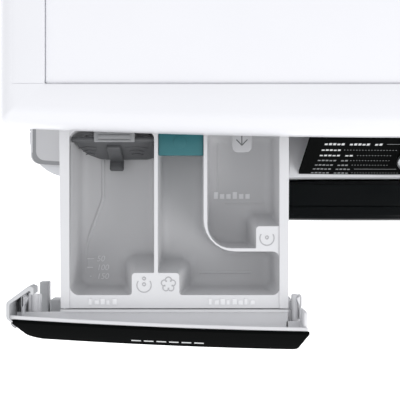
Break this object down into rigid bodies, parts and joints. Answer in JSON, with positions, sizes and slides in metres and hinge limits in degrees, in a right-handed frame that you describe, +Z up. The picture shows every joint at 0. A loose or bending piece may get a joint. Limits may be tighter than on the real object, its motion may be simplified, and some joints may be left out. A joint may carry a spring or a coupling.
{
  "type": "washing machine",
  "caption": "Front loading washing machine with a detergent drawer pulled out, round glass door, leaning console with knob and keys, sprung tub, drum, motor, belt, pump and filter hatch.",
  "frame": {"origin": "bottom centre of the machine's bounding box, drawer pulled out, on the floor under the feet", "axes": "+Z is up, the front with the door faces -Y, the drawer comes out towards -Y and +X is to the right of someone facing the front"},
  "size_m": [0.6, 0.6953, 0.85],
  "materials": {
    "white_steel": "satin",
    "grey_steel": "satin",
    "zinc": "satin",
    "stainless": "brushed",
    "white_plastic": "satin",
    "board_white": "matt",
    "black_gloss": "gloss",
    "tray_grey": "satin",
    "tub_grey": "matt",
    "dark_plastic": "matt",
    "frame_grey": "satin",
    "flap_grey": "satin",
    "teal": "satin",
    "tab_grey": "satin",
    "silver_plastic": "satin",
    "rubber_grey": "matt",
    "rubber_black": "matt",
    "bowl_glass": "clear",
    "display": "gloss",
    "circuit": "satin",
    "concrete": "rough",
    "cast_alloy": "cast",
    "clear_blue": "satin"
  },
  "bodies": {
    "cabinet": {"cabinet_shell": "white_steel", "front_panel": "white_steel", "base_tray": "dark_plastic", "rear_cover": "grey_steel", "cabinet_screws": "zinc", "lid_frame": "white_plastic", "lid_board": "board_white", "console_carrier": "white_plastic", "console_fascia": "black_gloss", "display_window": "display", "control_board": "circuit", "drawer_housing": "tray_grey", "water_distributor": "clear_blue", "inlet_valve": "white_plastic", "valve_hose": "rubber_black", "fill_bellows": "rubber_black", "door_gasket": "rubber_grey", "hinge_bracket": "zinc", "door_lock": "dark_plastic", "suspension_springs": "zinc", "damper_cylinders": "dark_plastic", "pump_housing": "tub_grey", "sump_hose": "rubber_black", "drain_hose": "rubber_grey", "feet": "rubber_black", "transport_caps": "tub_grey", "cord_gland": "rubber_black"},
    "tub": {"tub_rear": "tub_grey", "tub_front": "tub_grey", "tub_screws": "zinc", "counterweight_top": "concrete", "counterweight_front": "concrete", "motor_housing": "cast_alloy", "damper_rods": "zinc", "bearings": "zinc", "heater": "stainless", "drive_belt": "rubber_black"},
    "drum": {"drum_shell": "stainless", "drum_paddles": "tub_grey", "drum_spider": "cast_alloy", "drum_pulley": "cast_alloy"},
    "rotor": {"motor_rotor": "zinc"},
    "door": {"door_ring": "black_gloss", "door_frame": "frame_grey", "door_glass": "bowl_glass", "hinge_arm": "zinc"},
    "handle": {"door_handle": "black_gloss"},
    "hook": {"door_hook": "zinc"},
    "drawer": {"drawer_tray": "tray_grey", "drawer_front": "white_plastic", "drawer_plate": "black_gloss", "softener_cap": "teal"},
    "flap": {"liquid_flap": "flap_grey"},
    "release": {"release_tab": "tab_grey"},
    "knob": {"program_knob": "silver_plastic"},
    "power": {"power_button": "silver_plastic"},
    "start": {"start_button": "silver_plastic"},
    "hatch": {"filter_hatch": "white_plastic"},
    "filter": {"pump_filter": "dark_plastic"},
    "impeller": {"pump_impeller": "tub_grey"}
  },
  "joints": [
    {"name": "tub_bounce", "type": "slide", "parent": "cabinet", "child": "tub", "axis": [0, 0, 1], "range_m": [-0.008, 0.008], "stiffness_N_per_m": 25000, "springref_m": 0.01553, "deforming": ["suspension_springs", "fill_bellows", "sump_hose"]},
    {"name": "drum_spin", "type": "hinge", "parent": "tub", "child": "drum", "pos_m": [0, 0.04435, 0.455], "axis": [0, 1, 0], "continuous": true},
    {"name": "motor_spin", "type": "hinge", "parent": "tub", "child": "rotor", "pos_m": [0.095, 0.18435, 0.118], "axis": [0, 1, 0], "continuous": true},
    {"name": "door_swing", "type": "hinge", "parent": "cabinet", "child": "door", "pos_m": [-0.229, -0.22565, 0.455], "axis": [0, 0, -1], "range_deg": [0, 150]},
    {"name": "handle_pull", "type": "hinge", "parent": "door", "child": "handle", "pos_m": [0.198, -0.23165, 0.455], "axis": [0, 0, -1], "range_deg": [0, 12], "stiffness_Nm_per_rad": 2},
    {"name": "hook_turn", "type": "hinge", "parent": "door", "child": "hook", "pos_m": [0.2035, -0.21765, 0.455], "axis": [0, 0, 1], "range_deg": [0, 9], "stiffness_Nm_per_rad": 0.5},
    {"name": "drawer_slide", "type": "slide", "parent": "cabinet", "child": "drawer", "axis": [0, 1, 0], "range_m": [0, 0.144]},
    {"name": "flap_turn", "type": "hinge", "parent": "drawer", "child": "flap", "pos_m": [-0.225, -0.17865, 0.794], "axis": [-1, 0, 0], "range_deg": [0, 60]},
    {"name": "release_press", "type": "slide", "parent": "drawer", "child": "release", "axis": [0, 0, -1], "range_m": [0, 0.0022], "stiffness_N_per_m": 900},
    {"name": "knob_turn", "type": "hinge", "parent": "cabinet", "child": "knob", "pos_m": [0.022, -0.19137, 0.78288], "axis": [0, -0.9397, 0.342], "continuous": true},
    {"name": "power_press", "type": "slide", "parent": "cabinet", "child": "power", "axis": [0, 0.9397, -0.342], "range_m": [0, 0.0008], "stiffness_N_per_m": 1200},
    {"name": "start_press", "type": "slide", "parent": "cabinet", "child": "start", "axis": [0, 0.9397, -0.342], "range_m": [0, 0.0008], "stiffness_N_per_m": 1200},
    {"name": "hatch_swing", "type": "hinge", "parent": "cabinet", "child": "hatch", "pos_m": [0.2, -0.19965, 0.068], "axis": [1, 0, 0], "range_deg": [0, 90]},
    {"name": "filter_turn", "type": "hinge", "parent": "cabinet", "child": "filter", "pos_m": [0.2, -0.17565, 0.116], "axis": [0, -1, 0], "range_deg": [0, 90]},
    {"name": "impeller_spin", "type": "hinge", "parent": "cabinet", "child": "impeller", "pos_m": [0.2, -0.10565, 0.116], "axis": [0, 1, 0], "continuous": true}
  ],
  "couplings": [
    {"joint": "motor_spin", "follows": "drum_spin", "ratio": 10.197},
    {"joint": "hook_turn", "follows": "handle_pull", "ratio": 0.75}
  ]
}
